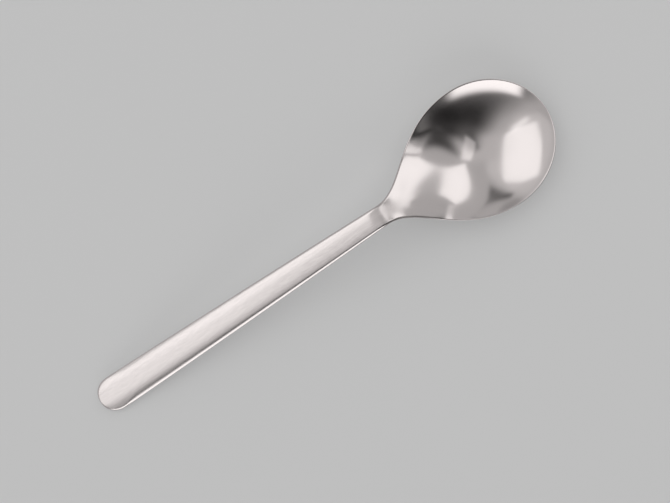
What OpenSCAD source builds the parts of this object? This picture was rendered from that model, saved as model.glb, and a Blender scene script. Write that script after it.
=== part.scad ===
// Serving spoon of satin stainless steel, lying as it rests on a table.
// X runs from the handle's end to the bowl's tip, Y across, Z up, table at Z = 0.

/* [Length and plan] */
// Overall length, handle end to bowl tip
length = 235; // [200:1:270]
// Widest place of the bowl, over the rim
bowl_width = 58.1; // [46:0.1:66]
// Distance from the widest place forward to the tip
bowl_front = 32; // [26:0.5:40]
// Distance from the neck forward to the widest place
bowl_rear = 54; // [44:0.5:64]
// How long the rim keeps the neck's width before it flares, as a share of bowl_rear
neck_flare = 0.28; // [0.2:0.01:0.5]
// How round the shoulders are, as a share of bowl_rear
shoulder = 0.53; // [0.4:0.01:0.75]
// Width at the neck, the narrowest place
neck_width = 9.4; // [7:0.1:13]
// Width of the handle near its end
end_width = 15.6; // [11:0.1:20]
// How late the handle narrows, 1 is a straight taper
taper = 1.3; // [1:0.05:2]
// Length of the handle's rounded end
end_round = 8.5; // [5:0.1:12]

/* [Bowl and side view] */
// Depth of the bowl below its rim at the widest place
bowl_depth = 10.1; // [8:0.1:14]
// Exponent of the cross section, 2 is a parabola
bowl_form = 2.05; // [2:0.05:2.8]
// Slope of the rim, down towards the tip, in degrees
rim_fall = 1; // [0:0.1:4]
// Slope of the straight handle, up towards the neck, in degrees
handle_rise = 9; // [6:0.1:11]
// Height through which the middle line falls from the neck to the bowl's bottom
fall_height = 25.9; // [20:0.1:31]
// Length of that fall, behind the widest place
fall_length = 65; // [56:0.5:74]
// How softly the bar bends over into the fall, as a difference in height
bend_soft = 1.5; // [0.6:0.1:5]
// Where the edge begins to drop to the rim, behind the widest place
edge_start = 58.5; // [50:0.5:66]
// Where the edge has reached the rim, behind the widest place
edge_stop = 28; // [16:0.5:36]

/* [Thickness and edges] */
// Thickness of the handle at its end, middle of the section
end_thick = 2.2; // [1.6:0.1:3]
// Thickness of the handle at the neck, middle of the section
neck_thick = 3; // [2.2:0.1:4]
// Thickness of the bowl's wall
wall = 1.3; // [1:0.05:2]
// Radius of the crown across the handle's upper face
crown_radius = 75; // [40:1:120]
// Reach of the rounded edge round the handle's end
edge_tip = 0.8; // [0.5:0.05:1.3]
// Reach of the rounded edge along the handle's sides, beside the end
edge_side = 2.2; // [0.8:0.1:3]
// Reach of the rounded edge along the handle's sides, at the neck
edge_neck = 0.9; // [0.6:0.05:1.3]
// Reach of the rounded edge along the bowl's rim
edge_rim = 0.6; // [0.4:0.05:0.8]
// Share of the thickness that stands upright at the edge
edge_flat = 0.3; // [0.2:0.05:0.5]

/* [Hidden] */
step = 0.05;
tip_cut = 0.03;
half_b = bowl_width / 2;
half_n = neck_width / 2;
half_e = end_width / 2;
wide_x = length - bowl_front;
neck_x = wide_x - bowl_rear;
handle_x = neck_x - 0.25 * bowl_rear;
bowl_x = neck_x + 0.2 * bowl_rear;
foot_x = 0.44 * edge_tip;
steel = [0.78, 0.77, 0.76];

// Number of stations in each stretch and of steps across
n_end = 11;
n_side = 4;
n_shaft = 11;
n_neck = 16;
n_rear = 22;
n_front = 22;
n_mid = 18;
edge_steps = [0, 0.05, 0.18, 0.4, 0.7];

// Plain helpers
function clamp01(t) = min(1, max(0, t));
function ease(a, b, x) = let (t = clamp01((x - a) / (b - a))) t * t * (3 - 2 * t);
function mix(a, b, t) = a + (b - a) * t;
function soft_min(a, b, k) = let (h = max(k - abs(a - b), 0) / k) min(a, b) - h * h * k / 4;

// Rear curve of the bowl's plan: one cubic from the neck to the widest place
function cubic(t, a, b, c, d) =
    pow(1 - t, 3) * a + 3 * pow(1 - t, 2) * t * b + 3 * (1 - t) * t * t * c + t * t * t * d;
function rear_x(t) =
    cubic(t, neck_x, neck_x + neck_flare * bowl_rear, wide_x - shoulder * bowl_rear, wide_x);
function rear_t(x, lo = 0, hi = 1, n = 26) =
    let (m = (lo + hi) / 2)
    n == 0 ? m : rear_x(m) < x ? rear_t(x, m, hi, n - 1) : rear_t(x, lo, m, n - 1);

// Half width of the plan at X
function end_share(x) =
    let (u = clamp01((x + tip_cut) / (end_round + tip_cut)))
    pow(1 - pow(1 - u, 2.2), 1 / 2.2);
function shaft_half(x) = mix(half_e, half_n, pow(clamp01(x / neck_x), taper)) * end_share(x);
function front_share(x) =
    sqrt(max(0, 1 - pow(max(0, x - wide_x) / (bowl_front + tip_cut), 2)));
function half_width(x) =
    x < neck_x ? shaft_half(x)
    : x < wide_x ? cubic(rear_t(x), half_n, half_n, half_b, half_b)
    : half_b * front_share(x);

// The handle's bar: its thickness, its straight upper line and its crown
function bar_thick(x) = mix(end_thick, neck_thick, clamp01(x / neck_x));
function bar_line(x) = tan(handle_rise) * (x - foot_x) + bar_thick(x);
function crown(x) = pow(shaft_half(x), 2) / (2 * crown_radius);

// The middle line: up the bar, over the bend, down to the bowl's bottom and up to the tip
function fall_line(x) =
    wall + fall_height / 2 * (1 - cos(180 * clamp01((wide_x - x) / fall_length)));
function tip_rise(x) = (rim_line(x) - wall) * (1 - pow(front_share(x), bowl_form));
function middle_z(x) = soft_min(bar_line(x), fall_line(x), bend_soft) + tip_rise(x);

// The edge line: along the bar, down the shoulders and round the rim
function rim_line(x) = bowl_depth + wall - tan(rim_fall) * (x - wide_x);
function edge_z(x) =
    mix(bar_line(x) - crown(x), rim_line(x), ease(wide_x - edge_start, wide_x - edge_stop, x));

// How far X has passed from the handle's bar to the bowl's thin sheet
function thin(x) = ease(neck_x - 0.1 * bowl_rear, neck_x + 0.55 * bowl_rear, x);

// Reach of the rounded edge
function edge_reach(x) =
    let (side = mix(edge_side, edge_neck, clamp01(x / neck_x)))
    mix(mix(edge_tip, side, ease(end_round, 2 * end_round, x)), edge_rim, thin(x));

// Upper face of a station: [x, half width, edge height, middle height]
function line(x) = [x, half_width(x), edge_z(x), middle_z(x)];
function top_z(l, y) = mix(l[3], l[2], pow(abs(y) / l[1], bowl_form));

// A station: its lines here, a step before and a step after, then crown, bar, passage and edge reach
function station(x) =
    [line(x), line(max(0, x - step)), line(min(length, x + step)),
     crown(x), bar_thick(x), thin(x), edge_reach(x)];
function plan_turn(s) = let (g = (s[2][1] - s[1][1]) / (s[2][0] - s[1][0])) sqrt(1 + g * g);
function steep(s, y) =
    let (a = (top_z(s[2], y) - top_z(s[1], y)) / (s[2][0] - s[1][0]))
    let (r = abs(y) / s[0][1])
    let (b = (s[0][2] - s[0][3]) * bowl_form * pow(r, bowl_form - 1) / s[0][1])
    sqrt(1 + a * a + b * b);
function thick(s, y) =
    mix(s[4] - s[3] * pow(abs(y) / s[0][1], bowl_form), wall * steep(s, y), s[5]);
function edge_share(s, y) =
    let (u = clamp01(1 - (s[0][1] - abs(y)) / plan_turn(s) / s[6]))
    edge_flat + (1 - edge_flat) * sqrt(1 - u * u);

// Steps across a station, crowded where the edge turns
function across(s) =
    let (w = s[0][1], e = min(s[6] * plan_turn(s), 0.6 * w), k = len(edge_steps))
    concat([for (i = [0:k - 1]) -w + e * edge_steps[i]],
           [for (i = [0:n_mid]) mix(e - w, w - e, i / n_mid)],
           [for (i = [k - 1:-1:0]) w - e * edge_steps[i]]);
function face(s, side) = [for (y = across(s))
    let (t = thick(s, y) / 2)
    [s[0][0] - length / 2, y, top_z(s[0], y) - t + side * t * edge_share(s, y)]];

// Where the stations stand
xs_handle = concat(
    [for (i = [0:n_end - 1]) end_round * (1 - cos(90 * i / n_end))],
    [for (i = [0:n_side - 1]) mix(end_round, 2 * end_round, i / n_side)],
    [for (i = [0:n_shaft]) mix(2 * end_round, handle_x, i / n_shaft)]);
xs_neck = [for (i = [0:n_neck]) mix(handle_x, bowl_x, i / n_neck)];
xs_bowl = concat(
    [for (i = [0:n_rear - 1]) mix(bowl_x, wide_x, i / n_rear)],
    [for (i = [0:n_front]) wide_x + bowl_front * sin(90 * i / n_front)]);

// A closed skin over a row of stations, with a flat face at each end
module skin(xs) {
    st = [for (x = xs) station(x)];
    m = n_mid + 1 + 2 * len(edge_steps);
    rows = len(xs);
    pts = [for (s = st) each concat(face(s, 1), face(s, -1))];
    up = function (i, j) i * 2 * m + j;
    lo = function (i, j) i * 2 * m + m + j;
    sheet = [for (i = [0:rows - 2]) for (j = [0:m - 2])
        each (2 * j < m - 1
            ? [[up(i, j), up(i, j + 1), up(i + 1, j + 1)], [up(i, j), up(i + 1, j + 1), up(i + 1, j)],
               [lo(i, j), lo(i + 1, j + 1), lo(i, j + 1)], [lo(i, j), lo(i + 1, j), lo(i + 1, j + 1)]]
            : [[up(i, j), up(i, j + 1), up(i + 1, j)], [up(i + 1, j), up(i, j + 1), up(i + 1, j + 1)],
               [lo(i, j), lo(i + 1, j), lo(i, j + 1)], [lo(i + 1, j), lo(i + 1, j + 1), lo(i, j + 1)]])];
    sides = [for (i = [0:rows - 2]) each [
        [up(i, 0), up(i + 1, 0), lo(i + 1, 0)], [up(i, 0), lo(i + 1, 0), lo(i, 0)],
        [up(i, m - 1), lo(i + 1, m - 1), up(i + 1, m - 1)], [up(i, m - 1), lo(i, m - 1), lo(i + 1, m - 1)]]];
    ends = [for (j = [0:m - 2]) each [
        [up(0, j), lo(0, j), lo(0, j + 1), up(0, j + 1)],
        [up(rows - 1, j), up(rows - 1, j + 1), lo(rows - 1, j + 1), lo(rows - 1, j)]]];
    polyhedron(points = pts, faces = concat(sheet, sides, ends), convexity = 6);
}

// Long flat handle with a crowned upper face and a rounded end
module handle() {
    color(steel) skin(xs_handle);
}

// Neck, where the bar bends over, narrows and begins to open into the bowl
module neck() {
    color(steel) skin(xs_neck);
}

// Deep egg shaped bowl with a thin rounded rim
module bowl() {
    color(steel) skin(xs_bowl);
}

handle();
neck();
bowl();
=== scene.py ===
"""Serving spoon of satin stainless steel, dressed on its fixed frame and lit as a studio picture."""

import math
from types import SimpleNamespace

import bpy
import numpy as np
from bpy.props import FloatProperty, FloatVectorProperty, PointerProperty
from mathutils import Matrix, Vector


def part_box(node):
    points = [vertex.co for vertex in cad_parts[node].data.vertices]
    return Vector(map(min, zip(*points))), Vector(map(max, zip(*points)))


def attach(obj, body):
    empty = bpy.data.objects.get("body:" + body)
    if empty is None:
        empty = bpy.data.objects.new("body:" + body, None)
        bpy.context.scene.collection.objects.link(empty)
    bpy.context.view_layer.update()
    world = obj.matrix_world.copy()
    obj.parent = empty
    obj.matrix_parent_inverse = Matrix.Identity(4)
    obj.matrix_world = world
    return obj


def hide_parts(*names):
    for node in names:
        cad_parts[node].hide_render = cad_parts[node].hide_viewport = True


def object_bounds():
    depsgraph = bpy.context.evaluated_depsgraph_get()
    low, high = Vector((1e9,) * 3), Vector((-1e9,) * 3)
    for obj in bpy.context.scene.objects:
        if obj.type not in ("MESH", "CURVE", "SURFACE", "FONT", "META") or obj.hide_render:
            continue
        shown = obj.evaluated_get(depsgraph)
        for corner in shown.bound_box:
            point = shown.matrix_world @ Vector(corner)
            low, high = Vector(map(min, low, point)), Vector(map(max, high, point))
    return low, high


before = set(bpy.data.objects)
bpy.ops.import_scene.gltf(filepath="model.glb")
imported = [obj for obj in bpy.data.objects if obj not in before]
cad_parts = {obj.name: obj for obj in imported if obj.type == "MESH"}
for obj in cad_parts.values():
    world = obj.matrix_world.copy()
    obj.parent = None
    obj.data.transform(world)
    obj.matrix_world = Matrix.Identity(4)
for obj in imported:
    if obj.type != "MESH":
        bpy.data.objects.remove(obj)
CAD_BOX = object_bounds()

bl_info = {
    "name": "Serving Spoon",
    "version": (1, 0, 0),
    "blender": (4, 5, 0),
    "location": "3D View > Sidebar > Spoon",
    "description": "Builds a satin steel serving spoon from a few sizes, with its studio",
    "category": "Add Mesh",
}

MM = 0.001

# The spoon's rule: how far the outline is cut before it closes to a point, the step along X for a slope,
# the exponent of the handle's rounded end, the rounds that solve the cubic of the plan, where the handle
# meets the table as a share of its end's edge, and where the bar thins to a sheet, before and after the neck
TIP_CUT = 0.03 * MM
STEP = 0.05 * MM
END_FORM = 2.2
NEWTON_STEPS = 4
FOOT_SHARE = 0.44
THIN_START = 0.1
THIN_STOP = 0.55

# The mesh: points across the upper face, the rows beside a seam and the distance at which points are one
ACROSS = 65
SEAM_ROW = 0.4 * MM
WELD = 0.0002 * MM
TINY = 1e-12

# The steel: brush lines to a metre along and across, their detail, the share of them that polish
# takes away, and clouds to a metre
BRUSH_ALONG = 30.0
BRUSH_ACROSS = 1500.0
BRUSH_DETAIL = 3.0
POLISHED_AWAY = 0.7
STEEL_CLOUDS = 60.0

# The studio: clouds to a metre on the floor and its roughness, the lamps' distance, the camera's sensor and
# the least that a screen must lie ahead
FLOOR_CLOUDS = 9.0
FLOOR_ROUGHNESS = 0.8
LAMP_DISTANCE = 3.0
SENSOR_WIDTH = 36.0
HORIZON = 0.01

# Screens in the room by direction in the picture: right, up, wide, tall, tilt and soft margin in degrees,
# then radiance; a later one lies before an earlier one
ROOM_SCREENS = (
    (-23.1, 71.8, 26.9, 13.5, -43.5, 5.0, 0.40),
    (-31.2, 13.6, 53.9, 71.1, -15.4, 12.3, 0.79),
    (10.7, -77.8, 77.1, 76.6, -3.5, 31.3, 0.15),
    (44.7, -27.5, 75.2, 33.6, 15.3, 25.4, 0.03),
    (37.1, -3.7, 38.1, 48.4, 54.1, 8.6, 0.02),
    (-8.4, 50.6, 23.1, 5.7, -9.1, 4.0, 0.05),
    (10.6, 7.1, 62.9, 33.3, 9.6, 13.5, 0.71),
    (58.7, -19.7, 24.5, 9.6, -56.0, 5.0, 0.50),
    (25.6, -6.5, 21.5, 28.6, 26.6, 16.8, 0.13),
    (-23.5, -15.5, 15.0, 9.0, 33.0, 5.0, 1.35),
    (10.2, -69.8, 57.3, 40.4, 11.9, 10.0, 1.68),
)

# Soft boxes: right, up, wide, tall and tilt in degrees, share of the panel light
SOFT_BOXES = {
    "soft_box_left": (-27.7, 15.0, 29.2, 49.2, 9.1, 0.72),
    "soft_box_right": (32.0, 58.8, 22.4, 56.4, -1.2, 0.93),
    "low_box_right": (29.8, 8.3, 14.3, 29.7, -20.0, 0.60),
}


def length_prop(name, description, millimetres):
    """A length that a user may change, stored in metres."""
    default = millimetres * MM
    return FloatProperty(name=name, description=description, default=default, unit="LENGTH", precision=4)


def share_prop(name, description, default):
    """A plain number that a user may change."""
    return FloatProperty(name=name, description=description, default=default, precision=3)


def angle_prop(name, description, degrees):
    """An angle that a user may change, stored in radians."""
    return FloatProperty(name=name, description=description, default=math.radians(degrees), subtype="ANGLE")


def colour_prop(name, description, default):
    """A colour that a user may change."""
    return FloatVectorProperty(
        name=name, description=description, default=default, subtype="COLOR", min=0, max=1)


class SpoonSizes(bpy.types.PropertyGroup):
    """Sizes that the spoon's surface follows."""

    length: length_prop("Length", "Handle end to bowl tip", (CAD_BOX[1].x - CAD_BOX[0].x) / MM)
    bowl_width: length_prop("Bowl width", "Widest place of the bowl", (CAD_BOX[1].y - CAD_BOX[0].y) / MM)
    bowl_front: length_prop("Bowl front", "Widest place forward to the tip", 32)
    bowl_rear: length_prop("Bowl rear", "Neck forward to the widest place", 54)
    neck_flare: share_prop("Neck flare", "How long the rim keeps the neck's width", 0.28)
    shoulder: share_prop("Shoulder", "How round the shoulders are", 0.53)
    neck_width: length_prop("Neck width", "Narrowest place", 9.4)
    end_width: length_prop("End width", "Handle near its end", 15.6)
    taper: share_prop("Taper", "How late the handle narrows", 1.3)
    end_round: length_prop("End round", "Length of the handle's rounded end", 8.5)
    bowl_depth: length_prop("Bowl depth", "Depth below the rim at the widest place", 10.1)
    bowl_form: share_prop("Bowl form", "Exponent of the cross section", 1.8)
    entry_form: share_prop("Entrance form", "Exponent of the cross section at the bowl's entrance", 3.17)
    entry_start: length_prop(
        "Entrance start", "Where the section begins to change, behind the widest place", 62.24)
    entry_stop: length_prop(
        "Entrance stop", "Where the section is the bowl's, behind the widest place", 19.25)
    lip: length_prop("Rim band", "Height by which the face turns up in a band along the rim", 0.45)
    lip_more: length_prop("Shoulder band", "How much higher the band is at the shoulders", 0.7)
    lip_more_start: length_prop(
        "Shoulder band start", "Where that begins to fade, behind the widest place", 40.64)
    lip_more_stop: length_prop("Shoulder band stop", "Where it is gone, behind the widest place", -0.98)
    lip_reach: length_prop("Rim band width", "Width of that band", 6.76)
    lip_start: length_prop("Rim band start", "Where the band begins, behind the widest place", 46)
    lip_stop: length_prop(
        "Rim band full", "Where the band has its full height, behind the widest place", 38.85)
    rim_fall: angle_prop("Rim fall", "Slope of the rim towards the tip", 1)
    handle_rise: angle_prop("Handle rise", "Slope of the straight handle", 9)
    fall_height: length_prop("Fall height", "Fall of the middle line from the neck to the bowl's bottom", 26)
    fall_length: length_prop("Fall length", "Length of the fall, behind the widest place", 66.01)
    fall_form: share_prop("Fall form", "How late the fall levels out, 1 is a plain cosine", 0.94)
    bend_soft: length_prop("Bend softness", "How softly the bar bends over into the fall", 1.5)
    edge_start: length_prop("Edge start", "Where the edge begins to drop, behind the widest place", 61.26)
    edge_stop: length_prop("Edge stop", "Where the edge has reached the rim, behind the widest place", 24.86)
    crown_radius: length_prop("Crown radius", "Radius across the handle's upper face", 42)
    end_thick: length_prop("End thickness", "Handle at its end", 2.2)
    neck_thick: length_prop("Neck thickness", "Handle at the neck", 3.0)
    wall: length_prop("Wall", "Thickness of the bowl", 1.3)
    edge_tip: length_prop("End edge", "Reach of the rounded edge round the handle's end", 0.8)
    edge_side: length_prop("Side edge", "Reach of the rounded edge along the handle, beside the end", 3.4)
    edge_neck: length_prop("Neck edge", "Reach of the rounded edge along the handle, at the neck", 1.3)
    edge_rim: length_prop("Rim edge", "Reach of the rounded edge along the rim", 0.6)
    edge_flat: share_prop("Edge flat", "Share of the thickness that stands upright at the edge", 0.3)


class SteelFinish(bpy.types.PropertyGroup):
    """Look of the satin steel."""

    tone: colour_prop("Steel tone", "Colour of the bare steel", (0.60, 0.559, 0.551))
    # Painted sheen: the brushed handle's steel colour is made paler, standing in for the brighter light it
    # catches; the steel itself is the bowl's
    lift: share_prop("Brushed lift", "How much paler the brushed handle is", 0.06)
    shine: share_prop("Bowl roughness", "Roughness of the polished bowl", 0.15)
    satin: share_prop("Handle roughness", "Roughness of the brushed handle", 0.2)
    brush: share_prop("Brush", "How much the brush lines change the roughness", 0.5)
    streak: share_prop("Streak", "How much the brush lines change the tone", 0.25)
    brush_depth: length_prop("Brush depth", "Depth of the brush lines", 0.0003)
    cloud: share_prop("Cloud", "How much the tone varies", 0.02)
    polish_start: length_prop("Polish start", "X at which the brushed finish begins to fade", 28)
    polish_end: length_prop("Polish end", "X from which the finish is polished", 52)


class StudioSetup(bpy.types.PropertyGroup):
    """Floor, lamps and camera."""

    floor_tone: colour_prop("Floor tone", "Colour of the pale floor", (0.40, 0.40, 0.40))
    floor_glow: colour_prop("Floor glow", "Light that the pale floor shows of itself", (0.212, 0.212, 0.212))
    floor_cloud: share_prop("Floor cloud", "How much the floor's tone varies", 0.015)
    panel_light: share_prop("Panel light", "Radiance that a soft box adds to the room", 0.95)
    room_light: share_prop("Room light", "Radiance of the plain room", 0.607)
    camera_height: length_prop("Camera height", "Camera above the floor", 702)
    camera_turn: angle_prop("Camera turn", "Turn of the picture about the vertical", -33.58)
    camera_shift: FloatVectorProperty(
        name="Camera place", description="Camera over the floor, X and Y",
        default=(5.84 * MM, -1.74 * MM), size=2, unit="LENGTH")
    lens: FloatProperty(
        name="Lens", description="Focal length on a 36 mm sensor", default=85, subtype="DISTANCE_CAMERA")


SIZE_KEYS = tuple(SpoonSizes.__annotations__)


# Arithmetic that works on plain numbers and on fields of a node tree alike


class Field:
    """A number in a node tree: arithmetic on it adds Math nodes to the tree."""

    def __init__(self, tree, socket):
        self.tree = tree
        self.socket = socket

    def __add__(self, other):
        return combine("ADD", self, other)

    def __radd__(self, other):
        return combine("ADD", other, self)

    def __sub__(self, other):
        return combine("SUBTRACT", self, other)

    def __rsub__(self, other):
        return combine("SUBTRACT", other, self)

    def __mul__(self, other):
        return combine("MULTIPLY", self, other)

    def __rmul__(self, other):
        return combine("MULTIPLY", other, self)

    def __truediv__(self, other):
        return combine("DIVIDE", self, other)

    def __pow__(self, other):
        return combine("POWER", self, other)


def combine(operation, *values):
    """A Math node on fields and numbers."""
    tree = next(v.tree for v in values if isinstance(v, Field))
    node = tree.nodes.new("ShaderNodeMath")
    node.operation = operation
    for socket, value in zip(node.inputs, values):
        if isinstance(value, Field):
            tree.links.new(value.socket, socket)
        else:
            socket.default_value = value
    return Field(tree, node.outputs[0])


def either(operation, plain, *values):
    """A Math node if any value is a field, and otherwise the plain function."""
    if any(isinstance(v, Field) for v in values):
        return combine(operation, *values)
    return plain(*values)


def smaller(a, b):
    """The smaller of two values."""
    return either("MINIMUM", min, a, b)


def larger(a, b):
    """The larger of two values."""
    return either("MAXIMUM", max, a, b)


def size_of(a):
    """The value without its sign."""
    return either("ABSOLUTE", abs, a)


def root(a):
    """The square root."""
    return either("SQRT", math.sqrt, a)


def clipped(a):
    """The value held between 0 and 1."""
    return smaller(larger(a, 0.0), 1.0)


def eased(start, stop, x):
    """0 before start, 1 after stop, smooth between."""
    t = clipped((x - start) / (stop - start))
    return t * t * (3.0 - 2.0 * t)


def settled(start, stop, x):
    """As eased, with ends that show no bend in a mirror."""
    t = clipped((x - start) / (stop - start))
    return t * t * t * (10.0 - 15.0 * t + 6.0 * t * t)


def mixed(a, b, t):
    """A passage from a, where t is 0, to b, where t is 1."""
    return a + (b - a) * t


def soft_smaller(a, b, reach):
    """The smaller of two lines, with the corner between them rounded."""
    h = larger(reach - size_of(a - b), 0.0) / reach
    return smaller(a, b) - h * h * reach / 4.0


# The spoon's surface


class SpoonRule:
    """The surface by X, counted from the handle's end, and by the share across the half width."""

    def __init__(self, size):
        self.size = size
        self.half_bowl = size.bowl_width / 2.0
        self.half_neck = size.neck_width / 2.0
        self.wide_x = size.length - size.bowl_front
        self.neck_x = self.wide_x - size.bowl_rear

    def shaft_half(self, x):
        """Half the width of the handle and neck, with the rounded end."""
        size = self.size
        u = clipped((x + TIP_CUT) / (size.end_round + TIP_CUT))
        end = (1.0 - (1.0 - u) ** END_FORM) ** (1.0 / END_FORM)
        return mixed(size.end_width / 2.0, self.half_neck, clipped(x / self.neck_x) ** size.taper) * end

    def rear_share(self, x):
        """Share along the cubic between neck and widest place at which its X is reached."""
        size = self.size
        goal = clipped((x - self.neck_x) / size.bowl_rear)
        a = 3.0 * size.neck_flare
        b = 3.0 - 3.0 * size.shoulder
        t = goal
        for _ in range(NEWTON_STEPS):
            r = 1.0 - t
            rr = r * r
            rt = r * t
            tt = t * t
            place = rr * t * a + rt * t * b + tt * t
            slope = rr * a + rt * (b - a) * 2.0 + tt * (3.0 - b)
            t = t - (place - goal) / slope
        return t

    def bar_thick(self, x):
        """Thickness of the handle's bar."""
        return mixed(self.size.end_thick, self.size.neck_thick, clipped(x / self.neck_x))

    def handle_edge(self, x):
        """Reach of the rounded edge: narrow round the end, widest beside it, narrower towards the neck."""
        size = self.size
        side = mixed(size.edge_side, size.edge_neck, clipped(x / self.neck_x))
        return mixed(size.edge_tip, side, eased(size.end_round, 2.0 * size.end_round, x))

    def station(self, x):
        """The section at X: half width, heights of edge and middle, exponent, rim band and crown."""
        size = self.size
        shaft = self.shaft_half(x)
        t = self.rear_share(x)
        swell = (self.half_bowl - self.half_neck) * t * t * (3.0 - 2.0 * t)
        ahead = larger(x - self.wide_x, 0.0) / (size.bowl_front + TIP_CUT)
        front = root(larger(1.0 - ahead * ahead, 0.0))
        rise = either("TANGENT", math.tan, size.handle_rise)
        bar = rise * (x - FOOT_SHARE * size.edge_tip) + self.bar_thick(x)
        crown = shaft * shaft / (2.0 * size.crown_radius)
        slope = either("TANGENT", math.tan, size.rim_fall)
        rim = size.bowl_depth + size.wall - slope * (x - self.wide_x)
        drop = settled(self.wide_x - size.edge_start, self.wide_x - size.edge_stop, x)
        turn = clipped((self.wide_x - x) / size.fall_length) ** size.fall_form * math.pi
        fall = size.wall + size.fall_height / 2.0 * (1.0 - either("COSINE", math.cos, turn))
        tip_rise = (rim - size.lip - size.wall) * (1.0 - front ** size.bowl_form)
        faded = settled(self.wide_x - size.lip_more_start, self.wide_x - size.lip_more_stop, x)
        lip = mixed(size.lip + size.lip_more, size.lip, faded)
        lip = lip * settled(self.wide_x - size.lip_start, self.wide_x - size.lip_stop, x)
        entry = settled(self.wide_x - size.entry_start, self.wide_x - size.entry_stop, x)
        return SimpleNamespace(
            half=(shaft + swell) * front,
            edge=mixed(bar - crown, rim, drop) - lip,
            middle=soft_smaller(bar, fall, size.bend_soft) + tip_rise,
            form=mixed(size.entry_form, size.bowl_form, entry),
            lip=lip,
            crown=crown,
        )

    def top(self, station, across):
        """Height of the upper face without its rim band, at a distance from the middle line."""
        share = across / station.half
        return mixed(station.middle, station.edge, share ** station.form)

    def heights(self, x, share, station_at):
        """Half width, upper and lower height at X; share runs from 0 on the middle line to 1 at the edge."""
        size = self.size
        here = station_at(x)
        across = share * here.half
        before = larger(x - STEP, 0.0)
        after = smaller(x + STEP, size.length)
        run = after - before
        last = station_at(before)
        coming = station_at(after)
        slope_x = (self.top(coming, across) - self.top(last, across)) / run
        slope_y = (here.edge - here.middle) * here.form * share ** (here.form - 1.0) / here.half
        edge_turn = (coming.half - last.half) / run
        bar = self.bar_thick(x) - here.crown * share ** here.form
        sheet = size.wall * root(1.0 + slope_x * slope_x + slope_y * slope_y)
        thin = eased(self.neck_x - THIN_START * size.bowl_rear, self.neck_x + THIN_STOP * size.bowl_rear, x)
        thick = mixed(bar, sheet, thin)
        inward = (here.half - across) / root(1.0 + edge_turn * edge_turn)
        left = clipped(1.0 - inward / mixed(self.handle_edge(x), size.edge_rim, thin))
        full = size.edge_flat + (1.0 - size.edge_flat) * root(larger(1.0 - left * left, 0.0))
        band = clipped(1.0 - inward / size.lip_reach)
        middle = self.top(here, across) + here.lip * band * band - thick / 2.0
        return here.half, middle + thick / 2.0 * full, middle - thick / 2.0 * full


def add_node(tree, kind, *inputs, **settings):
    """A node with its settings made and its first inputs linked or set."""
    node = tree.nodes.new(kind)
    for key, setting in settings.items():
        setattr(node, key, setting)
    for socket, value in zip(node.inputs, inputs):
        join_or_set(tree, value, socket)
    return node


def join_or_set(tree, value, socket):
    """Links a field or socket to an input, or sets a plain value there."""
    if isinstance(value, Field):
        value = value.socket
    if isinstance(value, bpy.types.NodeSocket):
        tree.links.new(value, socket)
    elif value is not None:
        socket.default_value = value


def add_sockets(tree, side, kind, *names):
    """Named inputs or outputs on a tree."""
    for name in names:
        tree.interface.new_socket(name, in_out=side, socket_type="NodeSocket" + kind)


def group_inputs(tree):
    """The tree's inputs as fields by name."""
    source = tree.nodes.new("NodeGroupInput")
    return {socket.name: Field(tree, socket) for socket in source.outputs if socket.name}


def rule_of(value):
    """The rule that follows a tree's inputs."""
    return SpoonRule(SimpleNamespace(**{key: value[key] for key in SIZE_KEYS}))


def station_tree():
    """Node group that works out one section of the spoon."""
    tree = bpy.data.node_groups.new("Spoon station", "GeometryNodeTree")
    add_sockets(tree, "INPUT", "Float", "X", *SIZE_KEYS)
    value = group_inputs(tree)
    station = vars(rule_of(value).station(value["X"]))
    add_sockets(tree, "OUTPUT", "Float", *station)
    add_node(tree, "NodeGroupOutput", *station.values())
    return tree


def point_tree():
    """Node group that puts one point of the spoon's surface in place."""
    station_group = station_tree()
    tree = bpy.data.node_groups.new("Spoon point", "GeometryNodeTree")
    add_sockets(tree, "INPUT", "Float", "X", "Across", "Underside", *SIZE_KEYS)
    add_sockets(tree, "OUTPUT", "Vector", "Position")
    value = group_inputs(tree)
    x = value["X"]

    def station_at(place):
        given = {**value, "X": place}
        node = add_node(tree, "GeometryNodeGroup", node_tree=station_group)
        for socket in node.inputs:
            join_or_set(tree, given[socket.name], socket)
        return SimpleNamespace(**{socket.name: Field(tree, socket) for socket in node.outputs})

    half, upper, lower = rule_of(value).heights(x, size_of(value["Across"]), station_at)
    height = mixed(upper, lower, value["Underside"])
    place = add_node(tree, "ShaderNodeCombineXYZ", x - value["length"] / 2.0, half * value["Across"], height)
    add_node(tree, "NodeGroupOutput", place.outputs[0])
    return tree


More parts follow.
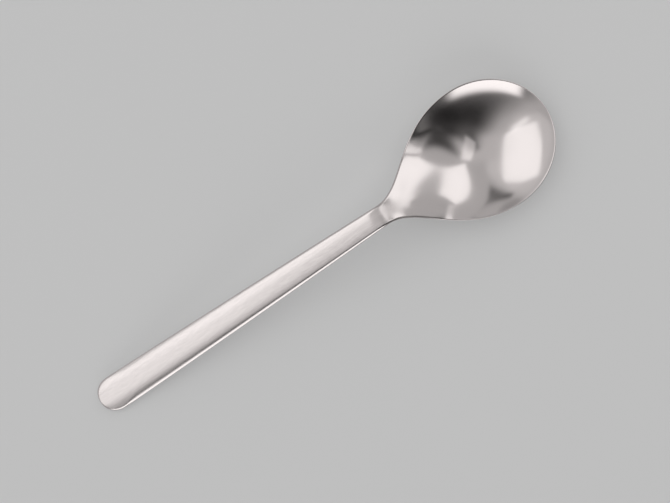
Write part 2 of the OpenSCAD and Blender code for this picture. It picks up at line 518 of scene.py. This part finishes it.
class SkinTree:
    """Tree that lays a closed skin over the stretch of the spoon between two stations."""

    def __init__(self, point_group):
        self.point_group = point_group
        self.tree = bpy.data.node_groups.new("Spoon skin", "GeometryNodeTree")
        add_sockets(self.tree, "INPUT", "Float", "From", "To")
        add_sockets(self.tree, "INPUT", "Float", "Crowd start", "Crowd end", "Seam start", "Seam end")
        add_sockets(self.tree, "INPUT", "Float", *SIZE_KEYS)
        add_sockets(self.tree, "INPUT", "Int", "Rows")
        add_sockets(self.tree, "INPUT", "Material", "Steel")
        add_sockets(self.tree, "OUTPUT", "Geometry", "Geometry")
        self.value = group_inputs(self.tree)
        self.build()

    def node(self, kind, *inputs, **settings):
        return add_node(self.tree, kind, *inputs, **settings)

    def grid(self, rows, columns):
        """A flat grid, with fields for the row and column of its points."""
        grid = self.node("GeometryNodeMeshGrid", 1.0, 1.0, rows, columns)
        place = self.node("ShaderNodeSeparateXYZ", self.node("GeometryNodeInputPosition").outputs[0])
        row = (Field(self.tree, place.outputs[0]) + 0.5) * (rows - 1)
        column = (Field(self.tree, place.outputs[1]) + 0.5) * float(columns - 1)
        return grid.outputs["Mesh"], row, combine("ROUND", column)

    def placed(self, mesh, x, across, underside):
        """The mesh with its points moved to the spoon's surface."""
        point = self.node("GeometryNodeGroup", node_tree=self.point_group)
        given = {**self.value, "X": x, "Across": across, "Underside": underside}
        for socket in point.inputs:
            join_or_set(self.tree, given[socket.name], socket)
        return self.node("GeometryNodeSetPosition", mesh, None, point.outputs["Position"]).outputs[0]

    def stored(self, mesh, name, value, kind, domain="POINT"):
        """The mesh with a named attribute."""
        store = self.node("GeometryNodeStoreNamedAttribute", mesh, None, name, data_type=kind, domain=domain)
        join_or_set(self.tree, value, store.inputs["Value"])
        return store.outputs[0]

    def station(self, row):
        """X of a row: one row past each seam, one on it, one inside, and the rest spread between."""
        value = self.value
        rows = value["Rows"]
        step = clipped((row - 2.0) / (rows - 5.0))
        share = step + value["Crowd start"] * (step * step - step) + value["Crowd end"] * (step - step * step)
        first = value["From"] + value["Seam start"]
        last = value["To"] - value["Seam end"]
        lead = combine("ROUND", clipped(1.5 - row) + clipped(0.5 - row))
        trail = combine("ROUND", clipped(row - rows + 2.5) + clipped(row - rows + 1.5))
        return mixed(first, last, share) - lead * value["Seam start"] + trail * value["Seam end"]

    def skin(self):
        """Upper and lower face and both edges, as one closed sheet along the stretch."""
        value = self.value
        mesh, row, column = self.grid(value["Rows"], 2 * ACROSS + 1)
        row = combine("ROUND", row)
        place = larger(smaller(column, 2.0 * ACROSS - 1.0 - column), 0.0)
        across = combine("SINE", (place * (2.0 / (ACROSS - 1)) - 1.0) * (math.pi / 2))
        underside = combine("COMPARE", column, 1.5 * ACROSS - 0.5, 0.5 * ACROSS)
        mesh = self.stored(mesh, "row", row, "FLOAT")
        mesh = self.placed(mesh, self.station(row), across, underside)
        mesh = self.node("GeometryNodeMergeByDistance", mesh, None, WELD).outputs[0]
        normal = self.node("GeometryNodeInputNormal").outputs[0]
        mesh = self.stored(mesh, "skin_normal", normal, "FLOAT_VECTOR")
        kept_row = Field(self.tree, self.node("GeometryNodeInputNamedAttribute", "row").outputs[0])
        beyond = combine("LESS_THAN", kept_row, 1.0) + combine("GREATER_THAN", kept_row, value["Rows"] - 2.0)
        return self.node("GeometryNodeDeleteGeometry", mesh, beyond, domain="FACE").outputs[0]

    def end_face(self, x, flip):
        """Flat face that closes the stretch at one station."""
        mesh, row, column = self.grid(2, ACROSS)
        across = combine("SINE", (column * (2.0 / (ACROSS - 1)) - 1.0) * (math.pi / 2))
        mesh = self.placed(mesh, x, across, combine("ROUND", row))
        if flip:
            mesh = self.node("GeometryNodeFlipFaces", mesh).outputs[0]
        return self.stored(mesh, "end_face", True, "BOOLEAN", "FACE")

    def build(self):
        """Joins the skin and both end faces, welds and dresses them."""
        join = self.node("GeometryNodeJoinGeometry")
        front = self.end_face(self.value["To"], False)
        rear = self.end_face(self.value["From"], True)
        for mesh in (front, rear, self.skin()):
            self.tree.links.new(mesh, join.inputs[0])
        weld = self.node("GeometryNodeMergeByDistance", join.outputs[0], None, WELD)
        smooth = self.node("GeometryNodeSetShadeSmooth", weld.outputs[0])
        real = self.node("GeometryNodeRealizeInstances", smooth.outputs[0])
        dressed = self.node("GeometryNodeSetMaterial", real.outputs[0], None, self.value["Steel"])
        self.node("NodeGroupOutput", dressed.outputs[0])


def shared_skin_tree():
    """The skin tree, made once."""
    found = bpy.data.node_groups.get("Spoon skin")
    return found or SkinTree(point_tree()).tree


def vector_array(data, key, count):
    """A float vector attribute as an array."""
    flat = np.empty(count * 3, np.float32)
    data.foreach_get(key, flat)
    return flat.reshape(-1, 3)


def set_normals(mesh):
    """Gives the skin the normals of the unbroken surface, so that no seam shows, and end faces their own."""
    normals = vector_array(mesh.attributes["skin_normal"].data, "vector", len(mesh.vertices))
    normals /= np.maximum(np.linalg.norm(normals, axis=1), TINY)[:, None]
    corner_points = np.empty(len(mesh.loops), np.int32)
    mesh.loops.foreach_get("vertex_index", corner_points)
    corners = normals[corner_points]
    for polygon, end in zip(mesh.polygons, mesh.attributes["end_face"].data):
        if end.value:
            corners[list(polygon.loop_indices)] = polygon.normal
    for name in ("row", "skin_normal", "end_face"):
        mesh.attributes.remove(mesh.attributes[name])
    mesh.normals_split_custom_set(corners.tolist())


def make_piece(context, name, rows, crowd_start=0.0, crowd_end=0.0, seam_start=True, seam_end=True):
    """One stretch of the spoon as a plain mesh that stands for the node of the same name."""
    sizes = context.scene.spoon_sizes
    low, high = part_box(name)
    given = {key: getattr(sizes, key) for key in SIZE_KEYS}
    given.update({
        "From": low.x + sizes.length / 2,
        "To": high.x + sizes.length / 2,
        "Crowd start": crowd_start,
        "Crowd end": crowd_end,
        "Seam start": SEAM_ROW if seam_start else 0.0,
        "Seam end": SEAM_ROW if seam_end else 0.0,
        "Rows": rows,
        "Steel": satin_steel(context.scene.spoon_steel),
    })
    piece = bpy.data.objects.new(name + "_steel", bpy.data.meshes.new(name + "_steel"))
    context.scene.collection.objects.link(piece)
    modifier = piece.modifiers.new("Skin", "NODES")
    modifier.node_group = shared_skin_tree()
    for socket in modifier.node_group.interface.items_tree:
        if socket.in_out == "INPUT":
            modifier[socket.identifier] = given[socket.name]
    evaluated = piece.evaluated_get(context.evaluated_depsgraph_get())
    mesh = bpy.data.meshes.new_from_object(evaluated)
    piece.modifiers.remove(modifier)
    piece.data = mesh
    mesh.name = piece.name
    if not mesh.polygons:
        raise RuntimeError("the skin of " + name + " is empty")
    set_normals(mesh)
    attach(piece, "root")
    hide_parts(name)


# Materials


def new_effect(name, inputs, output):
    """An empty shader node group with named inputs and one output, and its inputs as fields."""
    tree = bpy.data.node_groups.new(name, "ShaderNodeTree")
    add_sockets(tree, "INPUT", "Float", *inputs)
    add_sockets(tree, "OUTPUT", "Float", output)
    return tree, group_inputs(tree)


def brush_lines():
    """Shader group: fine lines along X, from 0 to 1, by their number to a metre along and across."""
    found = bpy.data.node_groups.get("Brush lines")
    if found:
        return found
    tree, value = new_effect("Brush lines", ("Along", "Across"), "Lines")
    place = add_node(tree, "ShaderNodeTexCoord").outputs["Object"]
    stretch = add_node(tree, "ShaderNodeCombineXYZ", value["Along"], value["Across"], value["Across"])
    drawn = add_node(tree, "ShaderNodeVectorMath", place, stretch.outputs[0], operation="MULTIPLY")
    noise = add_node(tree, "ShaderNodeTexNoise", drawn.outputs[0])
    noise.inputs["Scale"].default_value = 1.0
    noise.inputs["Detail"].default_value = BRUSH_DETAIL
    add_node(tree, "NodeGroupOutput", noise.outputs[0])
    return tree


def cloudy():
    """Shader group: a factor near 1 that wanders softly, by its clouds to a metre and its contrast."""
    found = bpy.data.node_groups.get("Cloudy")
    if found:
        return found
    tree, value = new_effect("Cloudy", ("Scale", "Contrast"), "Factor")
    place = add_node(tree, "ShaderNodeTexCoord").outputs["Object"]
    noise = add_node(tree, "ShaderNodeTexNoise", place)
    join_or_set(tree, value["Scale"], noise.inputs["Scale"])
    wander = (Field(tree, noise.outputs[0]) - 0.5) * 2.0
    add_node(tree, "NodeGroupOutput", 1.0 + wander * value["Contrast"])
    return tree


def new_material(name):
    """A node material, its tree and its shader."""
    material = bpy.data.materials.new(name)
    material.use_nodes = True
    return material, material.node_tree, material.node_tree.nodes["Principled BSDF"]


def clouded(tree, tone, scale, contrast):
    """A colour that wanders softly about its tone."""
    factor = add_node(tree, "ShaderNodeGroup", node_tree=cloudy())
    factor.inputs["Scale"].default_value = scale
    factor.inputs["Contrast"].default_value = contrast
    colour = add_node(tree, "ShaderNodeVectorMath", Vector(tone), operation="SCALE")
    tree.links.new(factor.outputs["Factor"], colour.inputs["Scale"])
    return colour.outputs["Vector"]


def satin_steel(finish):
    """Polished satin in the bowl, brushed along the handle, with a painted sheen that makes the handle's
    colour paler.
    """
    found = bpy.data.materials.get("spoon_steel")
    if found:
        return found
    material, tree, shader = new_material("spoon_steel")
    brush = add_node(tree, "ShaderNodeGroup", node_tree=brush_lines())
    brush.inputs["Along"].default_value = BRUSH_ALONG
    brush.inputs["Across"].default_value = BRUSH_ACROSS
    lines = Field(tree, brush.outputs["Lines"])
    place = add_node(tree, "ShaderNodeSeparateXYZ", add_node(tree, "ShaderNodeTexCoord").outputs["Object"])
    polish = eased(finish.polish_start, finish.polish_end, Field(tree, place.outputs["X"]))
    brushed = finish.brush * (1.0 - POLISHED_AWAY * polish)
    rough = mixed(finish.satin, finish.shine, polish) * (1.0 + (lines - 0.5) * brushed)
    bump = add_node(tree, "ShaderNodeBump")
    bump.inputs["Strength"].default_value = 1.0
    bump.inputs["Distance"].default_value = finish.brush_depth
    join_or_set(tree, lines * (1.0 - polish), bump.inputs["Height"])
    shader.inputs["Metallic"].default_value = 1.0
    tone = clouded(tree, finish.tone, STEEL_CLOUDS, finish.cloud)
    colour = add_node(tree, "ShaderNodeVectorMath", tone, operation="SCALE")
    # Painted sheen and grain: the handle's colour is lifted paler, as it looks when lit, and the brush lines
    # vary its tone; both fade where the bowl is polished
    drawn = (finish.lift + (lines - 0.5) * finish.streak) * (1.0 - polish)
    join_or_set(tree, 1.0 + drawn, colour.inputs["Scale"])
    tree.links.new(colour.outputs["Vector"], shader.inputs["Base Color"])
    join_or_set(tree, rough, shader.inputs["Roughness"])
    tree.links.new(bump.outputs["Normal"], shader.inputs["Normal"])
    return material


def pale_floor(studio):
    """Matt pale grey floor, faintly mottled."""
    material, tree, shader = new_material("pale_floor")
    tone = clouded(tree, studio.floor_tone, FLOOR_CLOUDS, studio.floor_cloud)
    tree.links.new(tone, shader.inputs["Base Color"])
    shader.inputs["Roughness"].default_value = FLOOR_ROUGHNESS
    ray = add_node(tree, "ShaderNodeLightPath").outputs
    seen = [Field(tree, ray["Is " + kind + " Ray"]) for kind in ("Camera", "Glossy", "Transmission")]
    glow = add_node(tree, "ShaderNodeVectorMath", Vector(studio.floor_glow), operation="SCALE")
    join_or_set(tree, clipped(sum(seen)), glow.inputs["Scale"])
    tree.links.new(glow.outputs["Vector"], shader.inputs["Emission Color"])
    shader.inputs["Emission Strength"].default_value = 1.0
    return material


# Stage


def toward(studio, right, up):
    """Direction that the picture shows so many degrees right of and above the zenith."""
    turn = studio.camera_turn
    image_right = Vector((math.cos(turn), math.sin(turn), 0.0))
    image_up = Vector((-math.sin(turn), math.cos(turn), 0.0))
    angle = math.radians(math.hypot(right, up))
    if angle == 0:
        return Vector((0.0, 0.0, 1.0))
    flat = (image_right * right + image_up * up).normalized()
    return flat * math.sin(angle) + Vector((0.0, 0.0, 1.0)) * math.cos(angle)


def facing(studio, right, up, tilt):
    """Axes of a rectangle that faces the spoon from a direction: its side, its top and its back."""
    back = toward(studio, right, up)
    rough_up = Vector((-math.sin(studio.camera_turn), math.cos(studio.camera_turn), 0.0))
    side = rough_up.cross(back).normalized()
    axes = Matrix((side, back.cross(side), back)).transposed()
    return axes @ Matrix.Rotation(math.radians(tilt), 3, "Z")


def half_tangent(degrees):
    """Half the width, at a distance of 1, of what fills an angle."""
    return math.tan(math.radians(degrees / 2))


def soft_box(studio, name, right, up, wide, tall, tilt, share):
    """A rectangular lamp that fills wide by tall degrees, with its share of the panel light."""
    data = bpy.data.lights.new(name, "AREA")
    data.shape = "RECTANGLE"
    data.size = 2 * LAMP_DISTANCE * half_tangent(wide)
    data.size_y = 2 * LAMP_DISTANCE * half_tangent(tall)
    data.energy = share * studio.panel_light * math.pi * data.size * data.size_y
    lamp = bpy.data.objects.new(name, data)
    axes = facing(studio, right, up, tilt)
    lamp.matrix_world = Matrix.Translation(axes.col[2] * LAMP_DISTANCE) @ axes.to_4x4()
    lamp.visible_camera = False
    bpy.context.scene.collection.objects.link(lamp)


def make_room(studio):
    """Grey room with soft-edged screens, some paler and some darker."""
    world = bpy.data.worlds.new("studio_room")
    world.use_nodes = True
    tree = world.node_tree
    place = add_node(tree, "ShaderNodeTexCoord").outputs["Generated"]

    def along(axis):
        dot = add_node(tree, "ShaderNodeVectorMath", place, axis, operation="DOT_PRODUCT")
        return Field(tree, dot.outputs["Value"])

    level = studio.room_light
    for right, up, wide, tall, tilt, soft, tone in ROOM_SCREENS:
        side, top, back = facing(studio, right, up, tilt).transposed()
        ahead = larger(along(back), HORIZON)
        within = 1.0
        for axis, reach in ((side, wide), (top, tall)):
            outer = half_tangent(reach + soft)
            inner = half_tangent(reach - soft)
            within = within * eased(outer, inner, size_of(along(axis)) / ahead)
        level = mixed(level, tone, within)
    background = tree.nodes["Background"]
    background.inputs["Strength"].default_value = 1.0
    join_or_set(tree, level, background.inputs["Color"])
    bpy.context.scene.world = world


def make_floor(studio, radius=3.0, sides=96):
    """Round floor under the spoon."""
    mesh = bpy.data.meshes.new("floor")
    turns = [2 * math.pi * i / sides for i in range(sides)]
    ring = [(radius * math.cos(turn), radius * math.sin(turn), 0.0) for turn in turns]
    mesh.from_pydata(ring, [], [list(range(sides))])
    mesh.materials.append(pale_floor(studio))
    floor = bpy.data.objects.new("floor", mesh)
    bpy.context.scene.collection.objects.link(floor)


def make_camera(studio):
    """Camera straight above, at the picture's turn."""
    data = bpy.data.cameras.new("camera")
    data.lens = studio.lens
    data.sensor_width = SENSOR_WIDTH
    camera = bpy.data.objects.new("camera", data)
    camera.location = (*studio.camera_shift, studio.camera_height)
    camera.rotation_euler = (0.0, 0.0, studio.camera_turn)
    bpy.context.scene.collection.objects.link(camera)
    bpy.context.scene.camera = camera


# Operators


class SPOON_OT_handle(bpy.types.Operator):
    """Make the long crowned handle with its rounded end"""

    bl_idname = "spoon.make_handle"
    bl_label = "Make Handle"

    def execute(self, context):
        make_piece(context, "handle", rows=120, crowd_start=1.0, seam_start=False)
        return {"FINISHED"}


class SPOON_OT_neck(bpy.types.Operator):
    """Make the neck, where the bar bends and begins to open"""

    bl_idname = "spoon.make_neck"
    bl_label = "Make Neck"

    def execute(self, context):
        make_piece(context, "neck", rows=60)
        return {"FINISHED"}


class SPOON_OT_bowl(bpy.types.Operator):
    """Make the dished bowl with its thin rounded rim"""

    bl_idname = "spoon.make_bowl"
    bl_label = "Make Bowl"

    def execute(self, context):
        make_piece(context, "bowl", rows=170, crowd_end=1.0, seam_end=False)
        return {"FINISHED"}


class SPOON_OT_stage(bpy.types.Operator):
    """Set the floor, the soft lamps, the room and the camera"""

    bl_idname = "spoon.set_stage"
    bl_label = "Set Stage"

    def execute(self, context):
        studio = context.scene.spoon_studio
        make_floor(studio)
        make_room(studio)
        for name, place in SOFT_BOXES.items():
            soft_box(studio, name, *place)
        make_camera(studio)
        context.scene.view_settings.view_transform = "Standard"
        return {"FINISHED"}


class SPOON_PT_sidebar(bpy.types.Panel):
    """Sizes, finish and studio of the spoon"""

    bl_label = "Serving Spoon"
    bl_idname = "SPOON_PT_sidebar"
    bl_space_type = "VIEW_3D"
    bl_region_type = "UI"
    bl_category = "Spoon"

    def draw(self, context):
        for group in (context.scene.spoon_sizes, context.scene.spoon_steel, context.scene.spoon_studio):
            box = self.layout.box()
            for key in type(group).__annotations__:
                box.prop(group, key)
        for operator in PIECE_OPERATORS:
            self.layout.operator(operator.bl_idname)


PIECE_OPERATORS = (SPOON_OT_handle, SPOON_OT_neck, SPOON_OT_bowl, SPOON_OT_stage)
CLASSES = (SpoonSizes, SteelFinish, StudioSetup, *PIECE_OPERATORS, SPOON_PT_sidebar)


def register():
    for cls in CLASSES:
        bpy.utils.register_class(cls)
    bpy.types.Scene.spoon_sizes = PointerProperty(type=SpoonSizes)
    bpy.types.Scene.spoon_steel = PointerProperty(type=SteelFinish)
    bpy.types.Scene.spoon_studio = PointerProperty(type=StudioSetup)


def unregister():
    del bpy.types.Scene.spoon_sizes
    del bpy.types.Scene.spoon_steel
    del bpy.types.Scene.spoon_studio
    for cls in reversed(CLASSES):
        bpy.utils.unregister_class(cls)


def main():
    register()
    bpy.ops.spoon.make_handle()
    bpy.ops.spoon.make_neck()
    bpy.ops.spoon.make_bowl()
    bpy.ops.spoon.set_stage()


if __name__ == "__main__":
    main()
